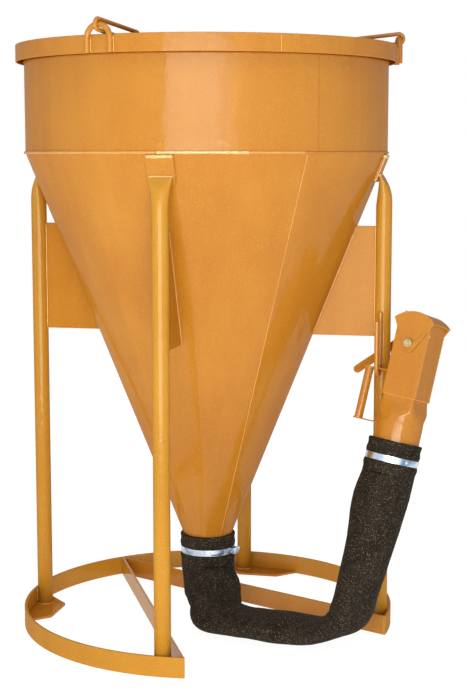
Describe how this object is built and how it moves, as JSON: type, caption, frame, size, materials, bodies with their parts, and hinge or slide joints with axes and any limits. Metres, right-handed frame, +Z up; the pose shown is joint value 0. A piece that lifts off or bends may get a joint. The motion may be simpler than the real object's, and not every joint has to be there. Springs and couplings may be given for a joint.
{
  "type": "concrete bucket",
  "caption": "Conical steel bucket on a leg frame for carrying concrete by crane, with lifting links, a rubber discharge hose and a hand-held spout with a sector gate.",
  "frame": {"origin": "on the hopper's axis at ground level", "axes": "+Z up along the hopper's axis; -Y towards the open side of the base ring"},
  "size_m": [1.1558, 1.1933, 1.8257],
  "materials": {
    "orange_paint": "gloss",
    "clamp_zinc": "satin",
    "bolt_zinc": "satin",
    "hose_rubber": "matte"
  },
  "bodies": {
    "hopper_frame": {"drum_shell": "orange_paint", "hopper_cone": "orange_paint", "rim_angle": "orange_paint", "outlet_spigot": "orange_paint", "base_ring": "orange_paint", "brace_left": "orange_paint", "brace_right": "orange_paint", "leg_front_left": "orange_paint", "leg_front_right": "orange_paint", "leg_rear_right": "orange_paint", "leg_rear_left": "orange_paint", "leg_pad_front_left": "orange_paint", "leg_pad_front_right": "orange_paint", "leg_pad_rear_right": "orange_paint", "leg_pad_rear_left": "orange_paint", "gusset_front_left": "orange_paint", "gusset_front_right": "orange_paint", "gusset_rear_right": "orange_paint", "gusset_rear_left": "orange_paint", "foot_plate_front_left": "orange_paint", "foot_plate_front_right": "orange_paint", "foot_plate_rear_right": "orange_paint", "foot_plate_rear_left": "orange_paint", "staple_left": "orange_paint", "staple_right": "orange_paint", "staple_rear": "orange_paint", "storage_hook": "orange_paint", "hose": "hose_rubber", "spigot_clamp_band": "clamp_zinc", "spigot_clamp_housing": "clamp_zinc", "spigot_clamp_screw": "clamp_zinc"},
    "spout_head": {"head_clamp_band": "clamp_zinc", "head_clamp_housing": "clamp_zinc", "head_clamp_screw": "clamp_zinc", "spout_tube": "orange_paint", "spout_neck": "orange_paint", "spout_cheek_front": "orange_paint", "spout_cheek_rear": "orange_paint", "spout_web_left": "orange_paint", "spout_web_right": "orange_paint", "strap_upper": "orange_paint", "strap_lower": "orange_paint", "grip": "orange_paint", "pivot_bolts": "bolt_zinc", "pivot_nuts": "bolt_zinc"},
    "sector_gate": {"gate_side_front": "orange_paint", "gate_side_rear": "orange_paint", "gate_skin": "orange_paint", "gate_lever": "orange_paint"},
    "lifting_link_left": {"link_left": "orange_paint"},
    "lifting_link_right": {"link_right": "orange_paint"},
    "lifting_link_rear": {"link_rear": "orange_paint"}
  },
  "joints": [
    {"name": "head_lift", "type": "slide", "parent": "hopper_frame", "child": "spout_head", "axis": [0, 0, 1], "range_m": [0, 0.14], "deforming": ["hose"]},
    {"name": "gate_swing", "type": "hinge", "parent": "spout_head", "child": "sector_gate", "pos_m": [0.42706, -0.50201, 0.892], "axis": [0.8803, 0.4067, -0.2441], "range_deg": [0, 70]},
    {"name": "link_left_swing", "type": "hinge", "parent": "hopper_frame", "child": "lifting_link_left", "pos_m": [-0.51158, -0.27777, 1.80522], "axis": [0.4772, -0.8788, 0], "range_deg": [0, 110]},
    {"name": "link_right_swing", "type": "hinge", "parent": "hopper_frame", "child": "lifting_link_right", "pos_m": [0.49634, -0.30416, 1.80522], "axis": [0.5225, 0.8526, 0], "range_deg": [0, 110]},
    {"name": "link_rear_swing", "type": "hinge", "parent": "hopper_frame", "child": "lifting_link_rear", "pos_m": [0.01524, 0.58193, 1.80522], "axis": [-0.9997, 0.0262, 0], "range_deg": [0, 110]}
  ]
}
